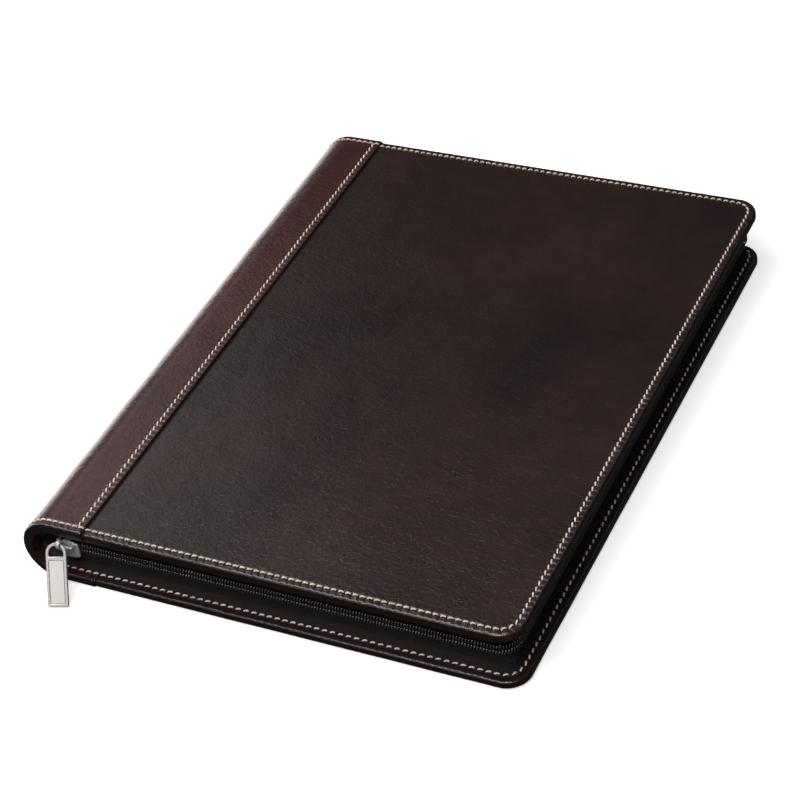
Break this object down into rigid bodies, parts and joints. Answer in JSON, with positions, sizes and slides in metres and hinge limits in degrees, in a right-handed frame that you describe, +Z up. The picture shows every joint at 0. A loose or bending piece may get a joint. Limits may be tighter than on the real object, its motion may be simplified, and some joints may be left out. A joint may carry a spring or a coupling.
{
  "type": "zip-around portfolio case",
  "caption": "Flat leather portfolio case for paper, with a zip around its free edges, a rounded spine, a writing pad, pockets and a pen loop inside.",
  "frame": {"origin": "centre of the base: the middle of the overall width and depth of the closed covers, on the surface the case lies on", "axes": "+X from the spine to the free long edge, +Y along the spine away from the zip's closed end, +Z up through the closed case"},
  "size_m": [0.258, 0.3543, 0.0355],
  "materials": {
    "panel_leather": "smooth burnished leather, near black with a brown cast",
    "spine_leather": "smooth semi-gloss leather, dark reddish brown",
    "lining": "dark brown-black woven lining",
    "pocket_leather": "thin matt lining leather",
    "grey_board": "pressed grey board",
    "zip_tape": "black herringbone woven tape",
    "zip_coil": "black moulded coil",
    "elastic": "black ribbed elastic",
    "nickel": "bright nickel plate",
    "satin_inlay": "pale satin enamel",
    "paper": "off-white writing paper"
  },
  "bodies": {
    "back_cover": {"back_cover_leather": "panel_leather", "back_cover_board": "grey_board", "back_lining": "lining", "spine_leather_back": "spine_leather", "lower_zip_tape": "zip_tape", "lower_zip_coil": "zip_coil", "lower_top_stop": "nickel", "bottom_stop": "nickel", "pad_sleeve": "pocket_leather", "pad_backing_card": "grey_board", "pad_sheets": "paper", "pad_binding": "zip_tape", "pen_loop": "elastic"},
    "spine": {"spine_leather": "spine_leather", "spine_stiffener": "grey_board", "spine_lining": "lining"},
    "front_cover": {"front_cover_leather": "panel_leather", "front_cover_board": "grey_board", "front_lining": "lining", "spine_leather_front": "spine_leather", "upper_zip_tape": "zip_tape", "upper_zip_coil": "zip_coil", "upper_top_stop": "nickel", "document_pocket": "pocket_leather", "card_pocket_1": "pocket_leather", "card_pocket_2": "pocket_leather", "card_pocket_3": "pocket_leather"},
    "slider": {"slider_body": "nickel"},
    "link": {"pull_link": "nickel"},
    "pull": {"pull_tab": "nickel", "pull_inlay": "satin_inlay"}
  },
  "joints": [
    {"name": "spine_fold", "type": "hinge", "parent": "back_cover", "child": "spine", "pos_m": [-0.1238, 0, 0.0052], "axis": [0, -1, 0], "range_deg": [0, 90]},
    {"name": "cover_fold", "type": "hinge", "parent": "spine", "child": "front_cover", "pos_m": [-0.1238, 0, 0.0303], "axis": [0, -1, 0], "range_deg": [0, 90]},
    {"name": "slider_slide", "type": "slide", "parent": "back_cover", "child": "slider", "axis": [1, 0, 0], "range_m": [0, 0.2]},
    {"name": "link_swing", "type": "hinge", "parent": "slider", "child": "link", "pos_m": [-0.1065, -0.1672, 0.0232], "axis": [-1, 0, 0], "range_deg": [0, 25]},
    {"name": "tab_swing", "type": "hinge", "parent": "link", "child": "pull", "pos_m": [-0.10816, -0.16899, 0.02514], "axis": [-0.9505, -0.3107, 0], "range_deg": [0, 90]}
  ],
  "couplings": [
    {"joint": "cover_fold", "follows": "spine_fold", "ratio": 1}
  ]
}
